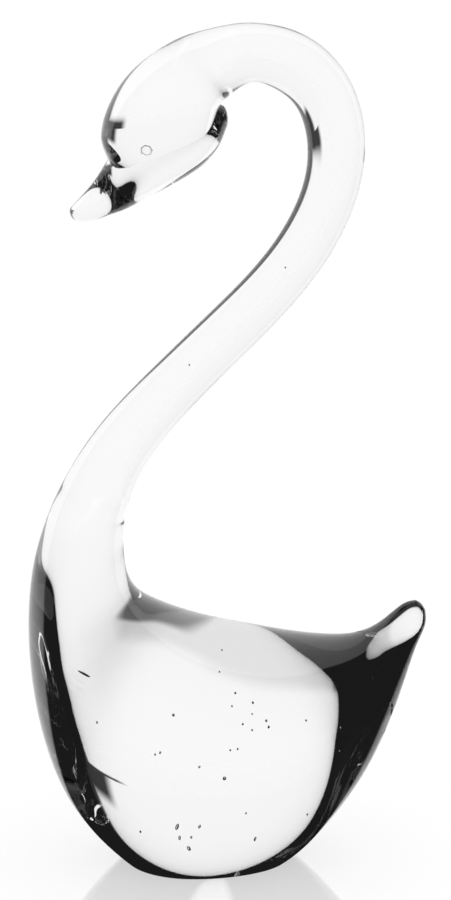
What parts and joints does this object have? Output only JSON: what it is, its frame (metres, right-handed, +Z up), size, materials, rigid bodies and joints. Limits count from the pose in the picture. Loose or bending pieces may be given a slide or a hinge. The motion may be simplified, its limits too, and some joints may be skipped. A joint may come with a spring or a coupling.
{
  "type": "glass swan figurine",
  "caption": "Solid clear-glass swan with a tall S-curved neck, a bowed head and a short upturned tail, standing on a small flat foot.",
  "frame": {"origin": "centre of the bounding box at the underside of the foot", "axes": "+Z up, the swan faces -X, and the plane Y = 0 is its middle plane"},
  "size_m": [0.1133, 0.073, 0.2401],
  "materials": {
    "clear_glass": "fire-polished colourless solid glass with a few small seeds and faint tool marks"
  },
  "bodies": {
    "root": {"swan": "clear_glass"}
  },
  "joints": []
}
